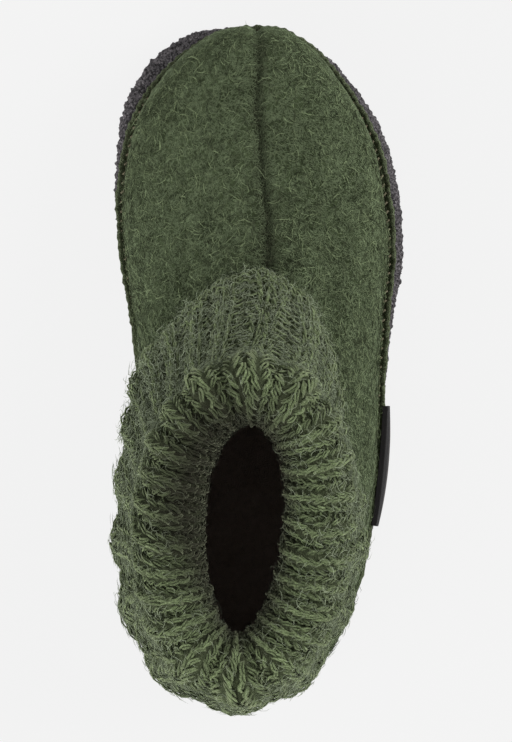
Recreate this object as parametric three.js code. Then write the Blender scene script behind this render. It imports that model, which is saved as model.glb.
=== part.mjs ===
// A child's wool slipper for the right foot: a boiled wool upper with a seam down its
// middle, a ribbed knit cuff turned down over the ankle, a thick felt sole, a loose felt
// insole and a small woven tab caught in the seam of the outer side.
// X runs to the outer side of the foot, Y from the heel to the toe and Z up, in
// millimetres. The origin is on the floor, under the middle of the whole slipper.
import * as THREE from "three";

// Sizes of the sole
const SOLE_LENGTH = 178.5;
const BALL_WIDTH = 77.6;
const SOLE_THICKNESS = 9.2;
const TOE_SPRING = 4.5;
const ARCH_RISE = 1.6;
const EDGE_ROUND = 1.6;

// Sizes of the upper
const WOOL_THICKNESS = 3;
const RIM_WIDTH = 4.6;
const LIP_WIDTH = 2.5;
const LIP_HEIGHT = 1.9;
const SEAM_DEPTH = 1.1;
const SEAM_WIDTH = 3.4;
const SEAM_REACH = 0.1;

// Sizes of the insole
const INSOLE_THICKNESS = 3;
const INSOLE_CLEARANCE = 0.9;

// Sizes of the cuff
const OPENING_LENGTH = 52;
const OPENING_WIDTH = 19;
const OPENING_BEHIND_TOE = 132;
const OPENING_TURN_DEG = 4;
const FOLD_HEIGHT_FRONT = 82;
const FOLD_HEIGHT_BACK = 85;
const KNIT_THICKNESS = 3.4;
const FOLD_RADIUS = 7.2;
const KNIT_CLEARANCE = 0.6;
const COLLAR_CLEARANCE = 0.48;
const RIB_COUNT = 22;
const RIB_DEPTH = 0.9;
const SHAFT_LEAN = 3;
const VAMP_DRIFT = 3;

// Sizes of the woven tab
const TAB_LENGTH = 32;
const TAB_DROP = 5;
const TAB_THICKNESS = 0.8;
const TAB_BOW = 0.7;
const TAB_TUCK = 0.75;
const TAB_BEHIND_TOE = 102;

// Pieces that are sewn or laid face to face keep this much air between them
const GAP = 0.3;

// How finely each piece is faceted
const AROUND_SOLE = 72;
const AROUND_UPPER = 60;
const COLUMNS_PER_RIB = 4;
const FOLD_STEPS = 6;
const TAB_STEPS = 8;

// The sole's edge: each row is a place along the length, as a share of it from the heel,
// and how far the edge lies to the inner and outer side, as shares of the ball width
const SOLE_EDGE = [
  { along: 0.008, inner: 0.13, outer: 0.115 },
  { along: 0.03, inner: 0.222, outer: 0.195 },
  { along: 0.07, inner: 0.308, outer: 0.27 },
  { along: 0.11, inner: 0.352, outer: 0.318 },
  { along: 0.165, inner: 0.386, outer: 0.362 },
  { along: 0.26, inner: 0.404, outer: 0.408 },
  { along: 0.37, inner: 0.408, outer: 0.436 },
  { along: 0.47, inner: 0.418, outer: 0.449 },
  { along: 0.56, inner: 0.444, outer: 0.472 },
  { along: 0.65, inner: 0.48, outer: 0.506 },
  { along: 0.742, inner: 0.5, outer: 0.495 },
  { along: 0.83, inner: 0.49, outer: 0.446 },
  { along: 0.89, inner: 0.458, outer: 0.372 },
  { along: 0.949, inner: 0.37, outer: 0.256 },
  { along: 0.979, inner: 0.28, outer: 0.16 },
  { along: 0.994, inner: 0.19, outer: 0.085 },
];
const HEEL_POINT = { along: 0, across: -0.005 };
const TOE_POINT = { along: 0.998, across: 0.006 };

// How much of the sole shows outside the upper's lip, as a share of RIM_WIDTH. Around is
// 0 at the toe and 0.5 at the heel, and runs along the outer side first.
const RIM = [
  { around: 0, width: 0.02 },
  { around: 0.03, width: 0.03 },
  { around: 0.045, width: 0.12 },
  { around: 0.06, width: 0.28 },
  { around: 0.08, width: 0.38 },
  { around: 0.13, width: 0.46 },
  { around: 0.16, width: 0.5 },
  { around: 0.2, width: 0.4 },
  { around: 0.24, width: 0.15 },
  { around: 0.28, width: 0.05 },
  { around: 0.31, width: 0.05 },
  { around: 0.74, width: 0.05 },
  { around: 0.8, width: 0.07 },
  { around: 0.84, width: 0.2 },
  { around: 0.88, width: 0.62 },
  { around: 0.91, width: 0.95 },
  { around: 0.94, width: 1 },
  { around: 0.96, width: 0.75 },
  { around: 0.98, width: 0.2 },
  { around: 1, width: 0.02 },
];

// Where round the slipper the columns of WALL stand
const STATIONS = [
  { name: "toe", around: 0 },
  { name: "instep", around: 0.2 },
  { name: "ankle", around: 0.35 },
  { name: "heel", around: 0.5 },
];

// The wall of the slipper from the sole's seam (rise 0) to the cuff's fold (rise 1). Each
// row says how far in the wall has come at that height, as a share of the way from the
// seam to the fold. Sway is how much of the soft cloth's sideways set shows there: to the
// outer side by VAMP_DRIFT in front, and to the inner side by SHAFT_LEAN behind.
const WALL = [
  { rise: 0, toe: 0, instep: 0, ankle: 0, heel: 0, sway: 0 },
  { rise: 0.06, toe: -0.012, instep: -0.008, ankle: -0.04, heel: -0.11, sway: 0.05 },
  { rise: 0.12, toe: -0.018, instep: -0.008, ankle: -0.075, heel: -0.18, sway: 0.12 },
  { rise: 0.18, toe: -0.012, instep: 0.004, ankle: -0.1, heel: -0.2, sway: 0.2 },
  { rise: 0.23, toe: 0.01, instep: 0.035, ankle: -0.105, heel: -0.2, sway: 0.28 },
  { rise: 0.27, toe: 0.052, instep: 0.08, ankle: -0.085, heel: -0.18, sway: 0.38 },
  { rise: 0.32, toe: 0.17, instep: 0.175, ankle: -0.045, heel: -0.14, sway: 0.55 },
  { rise: 0.38, toe: 0.395, instep: 0.325, ankle: 0.03, heel: -0.08, sway: 0.75 },
  { rise: 0.45, toe: 0.57, instep: 0.49, ankle: 0.11, heel: -0.01, sway: 0.93 },
  { rise: 0.52, toe: 0.69, instep: 0.625, ankle: 0.21, heel: 0.08, sway: 1 },
  { rise: 0.62, toe: 0.8, instep: 0.76, ankle: 0.4, heel: 0.26, sway: 0.9 },
  { rise: 0.73, toe: 0.89, instep: 0.865, ankle: 0.61, heel: 0.48, sway: 0.6 },
  { rise: 0.85, toe: 0.955, instep: 0.94, ankle: 0.82, heel: 0.74, sway: 0.3 },
  { rise: 1, toe: 1, instep: 1, ankle: 1, heel: 1, sway: 0 },
];

// Where on that wall the wool ends, as its rise
const COLLAR_RISE = 0.73;

// The sole's side, from its underside (rise 0) to its top (rise 1), and how far in each
// ring of it lies, as a share of EDGE_ROUND
const SOLE_SIDE = [
  { rise: 0, inset: 1 },
  { rise: 0.1, inset: 0.3 },
  { rise: 0.5, inset: 0 },
  { rise: 0.9, inset: 0.2 },
  { rise: 1, inset: 0.7 },
];

// The insole's side in the same way, with its inset as a share of INSOLE_THICKNESS
const INSOLE_SIDE = [
  { rise: 0, inset: 0 },
  { rise: 0.65, inset: 0 },
  { rise: 1, inset: 0.35 },
];

// The lip's section, from its foot on the sole round to the wall: how far out and up each
// point lies, as shares of LIP_WIDTH and LIP_HEIGHT
const LIP = [
  { out: 0.9, up: 0 },
  { out: 1, up: 0.5 },
  { out: 0.76, up: 1 },
  { out: 0.46, up: 0.85 },
  { out: 0.22, up: 0.3 },
  { out: 0, up: 0.25 },
];

// The turned-down layer, from the fold (down 0) to its edge (down 1): how far it stands
// off the wall where it lies close and where it flares, as a share of the fold's width
const FLAP = [
  { down: 0, close: 1, flared: 1 },
  { down: 0.16, close: 0.86, flared: 0.95 },
  { down: 0.4, close: 0.46, flared: 0.8 },
  { down: 0.64, close: 0.15, flared: 0.64 },
  { down: 0.86, close: 0.04, flared: 0.55 },
  { down: 1, close: 0, flared: 0.5 },
];

// Round the slipper: the rise on the wall that the turned-down edge reaches, which is
// lowest on the inner side of the instep, and how much the layer flares there
const FLAP_EDGE = [
  { around: 0, rise: 0.5, open: 0 },
  { around: 0.06, rise: 0.53, open: 0 },
  { around: 0.12, rise: 0.57, open: 0.02 },
  { around: 0.18, rise: 0.6, open: 0.15 },
  { around: 0.25, rise: 0.61, open: 0.35 },
  { around: 0.31, rise: 0.57, open: 0.55 },
  { around: 0.36, rise: 0.51, open: 0.5 },
  { around: 0.42, rise: 0.5, open: 0.25 },
  { around: 0.5, rise: 0.5, open: 0.2 },
  { around: 0.56, rise: 0.51, open: 0.25 },
  { around: 0.6, rise: 0.51, open: 0.45 },
  { around: 0.65, rise: 0.5, open: 0.75 },
  { around: 0.7, rise: 0.48, open: 1 },
  { around: 0.76, rise: 0.44, open: 1 },
  { around: 0.82, rise: 0.45, open: 0.8 },
  { around: 0.88, rise: 0.475, open: 0.4 },
  { around: 0.94, rise: 0.485, open: 0.1 },
  { around: 1, rise: 0.5, open: 0 },
];

// The tab's section, from the seam to its hanging edge: which way its outer face lies from
// its inner one, in thicknesses
const TAB_FACES = [
  { out: 0, up: 1 },
  { out: 0.7, up: 0.8 },
  { out: 1, up: 0.1 },
  { out: 1, up: 0 },
];

// A smooth line through two columns of a table
function lineThrough(rows, at, value) {
  const x = rows.map((row) => row[at]);
  const y = rows.map((row) => row[value]);
  const last = x.length - 1;
  const steepness = (i) => (y[i + 1] - y[i]) / (x[i + 1] - x[i]);
  const slope = x.map((_, i) => {
    if (i === 0) return steepness(0);
    if (i === last) return steepness(last - 1);
    const before = x[i] - x[i - 1];
    const after = x[i + 1] - x[i];
    return (steepness(i - 1) * after + steepness(i) * before) / (before + after);
  });
  return (place) => {
    let i = 0;
    while (i < last - 1 && place > x[i + 1]) i += 1;
    const width = x[i + 1] - x[i];
    const t = THREE.MathUtils.clamp((place - x[i]) / width, 0, 1);
    const ease = t * t * (3 - 2 * t);
    const leaving = t * (1 - t) * (1 - t) * width * slope[i];
    const arriving = t * t * (t - 1) * width * slope[i + 1];
    return (1 - ease) * y[i] + ease * y[i + 1] + leaving + arriving;
  };
}

const wrap = (around) => around - Math.floor(around);
const fromToe = (around) => Math.min(wrap(around), 1 - wrap(around));

// Turns a closed outline, whose first point is the toe, into a function of around that
// reaches the heel at 0.5 and moves evenly along each half
function evenHalves(points, heelIndex) {
  const reach = [0];
  points.forEach((point, i) => {
    const next = points[(i + 1) % points.length];
    reach.push(reach[i] + point.distanceTo(next));
  });
  const toHeel = reach[heelIndex];
  const back = reach[points.length] - toHeel;
  return (around) => {
    const share = wrap(around) * 2;
    const length = share <= 1 ? share * toHeel : toHeel + (share - 1) * back;
    let low = 0;
    let high = points.length;
    while (high - low > 1) {
      const middle = (low + high) >> 1;
      if (reach[middle] <= length) low = middle;
      else high = middle;
    }
    const t = (length - reach[low]) / (reach[high] - reach[low]);
    return points[low].clone().lerp(points[high % points.length], t);
  };
}

// The sole's edge seen from above, as a smooth closed curve through SOLE_EDGE
function soleEdge() {
  const place = (across, along) => new THREE.Vector3(across * BALL_WIDTH, along * SOLE_LENGTH, 0);
  const inner = SOLE_EDGE.map((row) => place(-row.inner, row.along));
  const outer = SOLE_EDGE.map((row) => place(row.outer, row.along)).reverse();
  const toe = place(TOE_POINT.across, TOE_POINT.along);
  const heel = place(HEEL_POINT.across, HEEL_POINT.along);
  const corners = [toe, ...outer, heel, ...inner];
  const curve = new THREE.CatmullRomCurve3(corners, true, "centripetal");
  const fine = 24;
  const count = corners.length * fine;
  const points = Array.from({ length: count }, (_, i) => curve.getPoint(i / count));
  return evenHalves(points, (outer.length + 1) * fine);
}

const edgeAt = soleEdge();
const rimAt = lineThrough(RIM, "around", "width");

// A point at the sole's edge, moved in from it seen from above
function insideEdge(around, inset) {
  const step = 0.004;
  const run = edgeAt(around + step).sub(edgeAt(around - step)).normalize();
  return edgeAt(around).add(new THREE.Vector3(run.y, -run.x, 0).multiplyScalar(inset));
}

// How high the sole lifts off the floor towards the toe
function toeLift(y) {
  const start = 0.7;
  const share = Math.max(0, (y / SOLE_LENGTH - start) / (1 - start));
  return TOE_SPRING * share * share;
}

// How high the underside lifts in the arch
function archLift(y) {
  const middle = 0.46;
  const half = 0.15;
  const share = Math.min(1, Math.abs(y / SOLE_LENGTH - middle) / half);
  return ARCH_RISE * Math.cos((share * Math.PI) / 2) ** 2;
}

const soleUnder = (y) => toeLift(y) + archLift(y);
const soleTop = (y) => SOLE_THICKNESS + toeLift(y);

// Where the upper stands on the sole: inside the showing rim and the turned-out lip
const seamInset = (around) => rimAt(wrap(around)) * RIM_WIDTH + LIP_WIDTH;

// The knit's outer face at the fold: an oval opening, with the knit's thickness round it
function foldOutline() {
  const halfWidth = OPENING_WIDTH / 2;
  const halfLength = OPENING_LENGTH / 2;
  const fullerInFront = 0.12;
  const down = new THREE.Vector3(0, 0, -1);
  const count = 360;
  const points = Array.from({ length: count }, (_, i) => {
    const turn = (i / count) * 2 * Math.PI;
    const across = Math.sin(turn) * (1 + fullerInFront * Math.cos(turn));
    const along = Math.cos(turn);
    const out = new THREE.Vector3(across / halfWidth, along / halfLength, 0).normalize();
    const point = new THREE.Vector3(across * halfWidth, along * halfLength, 0);
    point.addScaledVector(out, KNIT_THICKNESS);
    point.applyAxisAngle(down, THREE.MathUtils.degToRad(OPENING_TURN_DEG));
    point.y += SOLE_LENGTH - OPENING_BEHIND_TOE;
    return point;
  });
  return evenHalves(points, count / 2);
}

const foldAt = foldOutline();
const swayAt = lineThrough(WALL, "rise", "sway");

// For each station, its column of WALL and how much it counts at a place round the slipper
const stations = STATIONS.map((station) => {
  const mirrored = STATIONS.slice(1, -1).reverse();
  const rows = [
    ...mirrored.map(({ name, around }) => ({ name, around: -around })),
    ...STATIONS,
    ...mirrored.map(({ name, around }) => ({ name, around: 1 - around })),
  ].map(({ name, around }) => ({ around, counts: name === station.name ? 1 : 0 }));
  return {
    inward: lineThrough(WALL, "rise", station.name),
    counts: lineThrough(rows, "around", "counts"),
  };
});

// The wall's outer face: around the slipper, and up from the sole's seam to the fold
function wallAt(around, rise) {
  const place = fromToe(around);
  const share = stations.reduce((sum, { inward, counts }) => sum + inward(rise) * counts(place), 0);
  const seam = insideEdge(around, seamInset(around));
  const forward = 0.5 + 0.5 * Math.cos(around * 2 * Math.PI);
  const top = THREE.MathUtils.lerp(FOLD_HEIGHT_BACK, FOLD_HEIGHT_FRONT, forward);
  const bottom = soleTop(seam.y) + GAP;
  const point = seam.clone().lerp(foldAt(around), share);
  point.x += swayAt(rise) * THREE.MathUtils.lerp(-SHAFT_LEAN, VAMP_DRIFT, forward);
  point.z = bottom + (top - bottom) * rise;
  return point;
}

// A point of the wall, with the directions that lead up it and out of it
function wallFrame(around, rise) {
  const step = 0.004;
  const ahead = wallAt(around + step, rise).sub(wallAt(around - step, rise));
  const above = wallAt(around, Math.min(1, rise + step));
  const up = above.sub(wallAt(around, Math.max(0, rise - step))).normalize();
  const out = new THREE.Vector3().crossVectors(up, ahead).normalize();
  return { point: wallAt(around, rise), up, out };
}

// The wool's face, or its lining at a depth, with the soft trough of the middle seam
function woolFace(around, rise, depth = 0) {
  const { point, out } = wallFrame(around, rise);
  const near = fromToe(around) < SEAM_REACH;
  const beside = near ? point.distanceTo(wallAt(0, rise)) : Infinity;
  const trough = SEAM_DEPTH * Math.exp(-((beside / (SEAM_WIDTH / 2)) ** 2));
  return point.addScaledVector(out, -depth - trough);
}

// A closed body from points and triangles, turned so that its faces point out
function bodyOf(points, triangles) {
  const volume = triangles.reduce((sum, [a, b, c]) => {
    return sum + points[a].dot(new THREE.Vector3().crossVectors(points[b], points[c]));
  }, 0);
  const geometry = new THREE.BufferGeometry().setFromPoints(points);
  geometry.setIndex(triangles.flatMap(([a, b, c]) => (volume > 0 ? [a, b, c] : [a, c, b])));
  return geometry;
}

// The two triangles of each cell between two neighbouring rows of points
function cellsBetween(first, second, count, closed) {
  const cells = Array.from({ length: closed ? count : count - 1 }, (_, j) => {
    const next = (j + 1) % count;
    const [a, b, c, d] = [first + j, second + j, second + next, first + next];
    return [
      [a, b, c],
      [a, c, d],
    ];
  });
  return cells.flat();
}

// Joins closed sections, one for each column, into a ring
function ringBody(sections) {
  const rows = sections[0].length;
  const triangles = sections.flatMap((_, i) => {
    return cellsBetween(i * rows, ((i + 1) % sections.length) * rows, rows, true);
  });
  return bodyOf(sections.flat(), triangles);
}

// Joins closed sections in a row. Each end is a strip between the section's first half
// and its second, which runs back.
function stripBody(sections) {
  const rows = sections[0].length;
  const last = (sections.length - 1) * rows;
  const triangles = sections.slice(1).flatMap((_, i) => {
    return cellsBetween(i * rows, (i + 1) * rows, rows, true);
  });
  for (let j = 0; j < rows / 2 - 1; j += 1) {
    const [a, b, c, d] = [j, j + 1, rows - 2 - j, rows - 1 - j];
    triangles.push([a, b, c], [a, c, d]);
    triangles.push([last + a, last + c, last + b], [last + a, last + d, last + c]);
  }
  return bodyOf(sections.flat(), triangles);
}

// A layer with the sole's outline, from rings that each have an inset and a height. Its
// underside and top run straight across from side to side.
function layerBody(levels) {
  const count = AROUND_SOLE;
  const points = levels.flatMap(({ inset, height }) =>
    Array.from({ length: count }, (_, i) => {
      const point = insideEdge(i / count, inset(i / count));
      point.z = height(point.y);
      return point;
    }),
  );
  const triangles = levels.slice(1).flatMap((_, level) => {
    return cellsBetween(level * count, (level + 1) * count, count, true);
  });
  const top = (levels.length - 1) * count;
  for (let i = 0; i < count / 2; i += 1) {
    const [outer, outerNext] = [i, i + 1];
    const [inner, innerNext] = [(count - i) % count, count - i - 1];
    const across = [];
    if (outer !== inner) across.push([outer, outerNext, inner]);
    if (outerNext !== innerNext) across.push([inner, outerNext, innerNext]);
    across.forEach(([a, b, c]) => triangles.push([a, b, c], [top + a, top + c, top + b]));
  }
  return bodyOf(points, triangles);
}

// The felt sole: flat on the floor at the heel and the ball, lifted at the arch and toe
function soleGeometry() {
  const levels = SOLE_SIDE.map(({ rise, inset }) => ({
    inset: () => inset * EDGE_ROUND,
    height: (y) => THREE.MathUtils.lerp(soleUnder(y), soleTop(y), rise),
  }));
  return layerBody(levels);
}

// The insole: loose on the sole, with a little air between its edge and the upper
function insoleGeometry() {
  const levels = INSOLE_SIDE.map(({ rise, inset }) => ({
    inset: (around) => {
      return seamInset(around) + WOOL_THICKNESS + INSOLE_CLEARANCE + inset * INSOLE_THICKNESS;
    },
    height: (y) => soleTop(y) + GAP + rise * INSOLE_THICKNESS,
  }));
  return layerBody(levels);
}

// Columns of the upper: even, with more of them where the middle seam dips
function upperColumns() {
  const even = Array.from({ length: AROUND_UPPER }, (_, i) => i / AROUND_UPPER);
  const tip = even[1];
  const aroundPerLength = tip / edgeAt(0).distanceTo(edgeAt(tip));
  const beside = [0.25, 0.55, 1].map((share) => share * SEAM_WIDTH * aroundPerLength);
  const clear = even.filter((around) => fromToe(around) > beside.at(-1) + tip / 4);
  return [0, ...beside, ...clear, ...beside.map((share) => 1 - share).reverse()];
}

// The boiled wool upper: one wall, open at the collar and underneath, with the lip that
// is turned out onto the sole and sewn there
function upperGeometry() {
  const rises = WALL.map((row) => row.rise).filter((rise) => rise > 0 && rise < COLLAR_RISE);
  const sections = upperColumns().map((around) => {
    const onSole = (inset, height) => {
      const point = insideEdge(around, seamInset(around) + inset);
      point.z = soleTop(point.y) + GAP + height;
      return point;
    };
    const lip = LIP.map(({ out, up }) => onSole(-out * LIP_WIDTH, up * LIP_HEIGHT));
    const face = [...rises, COLLAR_RISE].map((rise) => woolFace(around, rise));
    const lining = [COLLAR_RISE, ...rises.toReversed()].map((rise) => {
      return woolFace(around, rise, WOOL_THICKNESS);
    });
    return [...lip, ...face, ...lining, onSole(WOOL_THICKNESS, 0)];
  });
  return ringBody(sections);
}

// The ribbed cuff: up from the wool's collar, over the fold and down outside the shaft.
// Across a rib both faces of the knit move together, as in a corrugated sheet.
function cuffGeometry() {
  const half = KNIT_THICKNESS / 2;
  const nearest = KNIT_CLEARANCE + half + RIB_DEPTH;
  const widest = 2 * FOLD_RADIUS - half;
  const edgeRiseAt = lineThrough(FLAP_EDGE, "around", "rise");
  const openAt = lineThrough(FLAP_EDGE, "around", "open");
  const columns = RIB_COUNT * COLUMNS_PER_RIB;
  const sections = Array.from({ length: columns }, (_, i) => {
    const around = i / columns;
    const rib = RIB_DEPTH * Math.cos(around * RIB_COUNT * 2 * Math.PI);
    const path = [COLLAR_RISE, (COLLAR_RISE + 1) / 2].map((rise) => {
      const { point, up, out } = wallFrame(around, rise);
      point.addScaledVector(out, -half);
      if (rise === COLLAR_RISE) point.addScaledVector(up, COLLAR_CLEARANCE);
      return { point, face: out.negate() };
    });
    const { point, up, out } = wallFrame(around, 1);
    point.addScaledVector(out, FOLD_RADIUS - half);
    for (let step = 0; step <= FOLD_STEPS; step += 1) {
      const turn = (step / FOLD_STEPS) * Math.PI;
      const face = out.clone().multiplyScalar(-Math.cos(turn));
      face.addScaledVector(up, Math.sin(turn));
      path.push({ point: point.clone().addScaledVector(face, FOLD_RADIUS), face });
    }
    FLAP.slice(1).forEach(({ down, close, flared }) => {
      const wall = wallFrame(around, THREE.MathUtils.lerp(1, edgeRiseAt(around), down));
      const share = THREE.MathUtils.lerp(close, flared, openAt(around));
      wall.point.addScaledVector(wall.out, THREE.MathUtils.lerp(nearest, widest, share));
      path.push({ point: wall.point, face: wall.out });
    });
    const shifted = (depth) => path.map(({ point, face }) => {
      return point.clone().addScaledVector(face, rib + depth);
    });
    return [...shifted(half), ...shifted(-half).reverse()];
  });
  return ringBody(sections);
}

// Where on the outer side the sole's edge lies a given length behind the toe
function aroundBehindToe(length) {
  let low = 0;
  let high = 0.5;
  while (high - low > 1e-7) {
    const middle = (low + high) / 2;
    if (SOLE_LENGTH - edgeAt(middle).y < length) low = middle;
    else high = middle;
  }
  return low;
}

// The woven tab: a strip of tape that comes out of the seam over the lip and hangs past
// the edge of the sole, bowed a little along its length
function tabGeometry() {
  const start = aroundBehindToe(TAB_BEHIND_TOE);
  const end = aroundBehindToe(TAB_BEHIND_TOE + TAB_LENGTH);
  const clear = LIP_HEIGHT + GAP;
  const sections = Array.from({ length: TAB_STEPS + 1 }, (_, i) => {
    const share = i / TAB_STEPS;
    const around = THREE.MathUtils.lerp(start, end, share);
    const bow = TAB_BOW * Math.sin(share * Math.PI);
    const fromEdge = (inset, height) => {
      const point = insideEdge(around, inset);
      point.z = soleTop(point.y) + GAP + height;
      return point;
    };
    const shape = [
      { inset: seamInset(around) - LIP_WIDTH * TAB_TUCK, height: clear },
      { inset: 0, height: clear },
      { inset: -GAP - bow / 2, height: 0 },
      { inset: -GAP - bow, height: -TAB_DROP },
    ];
    const inside = shape.map(({ inset, height }) => fromEdge(inset, height));
    const outside = shape.map(({ inset, height }, row) => {
      const { out, up } = TAB_FACES[row];
      return fromEdge(inset - out * TAB_THICKNESS, height + up * TAB_THICKNESS);
    });
    return [...inside, ...outside.reverse()];
  });
  return stripBody(sections);
}

function piece(name, geometry, color, roughness) {
  const material = new THREE.MeshStandardMaterial({ color, roughness, metalness: 0 });
  geometry.computeVertexNormals();
  const mesh = new THREE.Mesh(geometry, material);
  mesh.name = name;
  return mesh;
}

const slipper = new THREE.Group();
slipper.add(
  piece("sole", soleGeometry(), 0x464248, 0.95),
  piece("insole", insoleGeometry(), 0x2a2826, 0.95),
  piece("upper", upperGeometry(), 0x48603f, 0.95),
  piece("cuff", cuffGeometry(), 0x566b4c, 0.95),
  piece("side_tab", tabGeometry(), 0x181616, 0.7),
);

// Moves the slipper so that the origin is on the floor under its middle
const extent = new THREE.Box3().setFromObject(slipper, true);
const middle = extent.getCenter(new THREE.Vector3());
slipper.position.set(-middle.x, -middle.y, -extent.min.z);

export default slipper;
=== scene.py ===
# %% [markdown]
# # A child's wool slipper
# The slipper is a boiled wool upper on a thick felt sole, with a ribbed knit cuff turned
# down over the ankle and a small woven tab in its outer seam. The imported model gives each
# piece its place. Each soft piece is then worked out again here as a fine surface, because
# wool, knit and felt are all texture: the solids only say where they lie.

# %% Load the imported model
import math

import bpy
import numpy as np
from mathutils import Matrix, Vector


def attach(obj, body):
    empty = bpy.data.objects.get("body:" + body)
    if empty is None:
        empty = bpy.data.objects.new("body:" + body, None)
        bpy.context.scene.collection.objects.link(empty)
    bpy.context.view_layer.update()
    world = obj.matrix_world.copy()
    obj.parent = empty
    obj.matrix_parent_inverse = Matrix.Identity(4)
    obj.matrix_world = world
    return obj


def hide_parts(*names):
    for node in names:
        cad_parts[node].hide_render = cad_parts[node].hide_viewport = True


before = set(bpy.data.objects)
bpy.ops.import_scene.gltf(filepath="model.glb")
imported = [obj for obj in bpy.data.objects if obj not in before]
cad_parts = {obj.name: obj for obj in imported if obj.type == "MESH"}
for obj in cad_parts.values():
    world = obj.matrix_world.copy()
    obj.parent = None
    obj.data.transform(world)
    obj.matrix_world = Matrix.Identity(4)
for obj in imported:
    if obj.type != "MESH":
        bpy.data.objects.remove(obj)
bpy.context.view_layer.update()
print("pieces of the model:", sorted(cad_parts))

# %% [markdown]
# ## Sizes
# A maker cuts every piece from a few sizes of the last, and the surfaces below are drawn
# from the same ones. They are in millimetres, from the heel's end along Y, and one
# function at the end moves a finished surface to the model's origin, in metres.

# %% Sizes of the slipper, in millimetres, and its counts
SOLE_LENGTH = 178.5
BALL_WIDTH = 77.6
SOLE_THICKNESS = 9.2
TOE_SPRING = 4.5
ARCH_RISE = 1.6
WOOL_THICKNESS = 3.0
RIM_WIDTH = 4.6
LIP_WIDTH = 2.5
LIP_HEIGHT = 1.9
STITCHES = 170
SEAM_DEPTH = 1.1
SEAM_WIDTH = 3.4
OPENING_LENGTH = 52.0
OPENING_WIDTH = 19.0
OPENING_BEHIND_TOE = 132.0
OPENING_TURN = math.radians(4)
FOLD_HEIGHT_FRONT = 82.0
FOLD_HEIGHT_BACK = 85.0
KNIT_THICKNESS = 3.4
KNIT_CLEARANCE = 0.6
FOLD_RADIUS = 7.2
RIB_COUNT = 22
RIB_DEPTH = 0.9
SHAFT_LEAN = 3.0
VAMP_DRIFT = 3.0
COLLAR_RISE = 0.73
TAB_LENGTH = 32.0
TAB_DROP = 5.0
TAB_THICKNESS = 0.8
TAB_BOW = 0.7
TAB_TUCK = 0.75
TAB_BEHIND_TOE = 102.0
GAP = 0.3
MODEL_ORIGIN = np.array([0.272, 87.536, 0.0])

# %% [markdown]
# ## The last's tables
# A last is described by a few numbers: how far its edge lies to each side at each
# place along the foot, how much of the sole shows round it, and how the wall comes in as it
# rises. Shares of the sizes are kept, so that a table still holds when a size changes.

# %% The tables
SOLE_ALONG = [0.008, 0.03, 0.07, 0.11, 0.165, 0.26, 0.37, 0.47,
              0.56, 0.65, 0.742, 0.83, 0.89, 0.949, 0.979, 0.994]
SOLE_INNER = [0.13, 0.222, 0.308, 0.352, 0.386, 0.404, 0.408, 0.418,
              0.444, 0.48, 0.5, 0.49, 0.458, 0.37, 0.28, 0.19]
SOLE_OUTER = [0.115, 0.195, 0.27, 0.318, 0.362, 0.408, 0.436, 0.449,
              0.472, 0.506, 0.495, 0.446, 0.372, 0.256, 0.16, 0.085]
HEEL_POINT = (-0.005, 0.0)
TOE_POINT = (0.006, 0.998)
RIM_AROUND = [0, 0.03, 0.045, 0.06, 0.08, 0.13, 0.16, 0.2, 0.24, 0.28, 0.31,
              0.74, 0.8, 0.84, 0.88, 0.91, 0.94, 0.96, 0.98, 1]
RIM_SHOWS = [0.02, 0.03, 0.12, 0.28, 0.38, 0.46, 0.5, 0.4, 0.15, 0.05, 0.05,
             0.05, 0.07, 0.2, 0.62, 0.95, 1, 0.75, 0.2, 0.02]
WALL_RISE = [0, 0.06, 0.12, 0.18, 0.23, 0.27, 0.32, 0.38, 0.45, 0.52, 0.62, 0.73, 0.85, 1]
WALL_INWARD = {
    "toe": [0, -0.012, -0.018, -0.012, 0.01, 0.052, 0.17,
            0.395, 0.57, 0.69, 0.8, 0.89, 0.955, 1],
    "instep": [0, -0.008, -0.008, 0.004, 0.035, 0.08, 0.175,
               0.325, 0.49, 0.625, 0.76, 0.865, 0.94, 1],
    "ankle": [0, -0.04, -0.075, -0.1, -0.105, -0.085, -0.045,
              0.03, 0.11, 0.21, 0.4, 0.61, 0.82, 1],
    "heel": [0, -0.11, -0.18, -0.2, -0.2, -0.18, -0.14,
             -0.08, -0.01, 0.08, 0.26, 0.48, 0.74, 1],
}
WALL_SWAY = [0, 0.05, 0.12, 0.2, 0.28, 0.38, 0.55, 0.75, 0.93, 1, 0.9, 0.6, 0.3, 0]
STATION_AROUND = [-0.35, -0.2, 0, 0.2, 0.35, 0.5, 0.65, 0.8]
STATION_NAMES = ["ankle", "instep", "toe", "instep", "ankle", "heel", "ankle", "instep"]
FLAP_DOWN = [0, 0.16, 0.4, 0.64, 0.86, 1]
FLAP_CLOSE = [1, 0.86, 0.46, 0.15, 0.04, 0]
FLAP_FLARED = [1, 0.95, 0.8, 0.64, 0.55, 0.5]
FLAP_AROUND = [0, 0.06, 0.12, 0.18, 0.25, 0.31, 0.36, 0.42, 0.5,
               0.56, 0.6, 0.65, 0.7, 0.76, 0.82, 0.88, 0.94, 1]
FLAP_RISE = [0.5, 0.53, 0.57, 0.6, 0.61, 0.57, 0.51, 0.5, 0.5,
             0.51, 0.51, 0.5, 0.48, 0.44, 0.45, 0.475, 0.485, 0.5]
FLAP_OPEN = [0, 0, 0.02, 0.15, 0.35, 0.55, 0.5, 0.25, 0.2,
             0.25, 0.45, 0.75, 1, 1, 0.8, 0.4, 0.1, 0]

# %% [markdown]
# ## Curves from the tables
# A few numbers become a smooth shape when a curve is drawn through them. A cubic through
# two neighbours, with slopes taken from the points beside them, is enough for a column of
# heights. The sole's edge turns right round, so it gets a closed curve in the plane.


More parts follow.
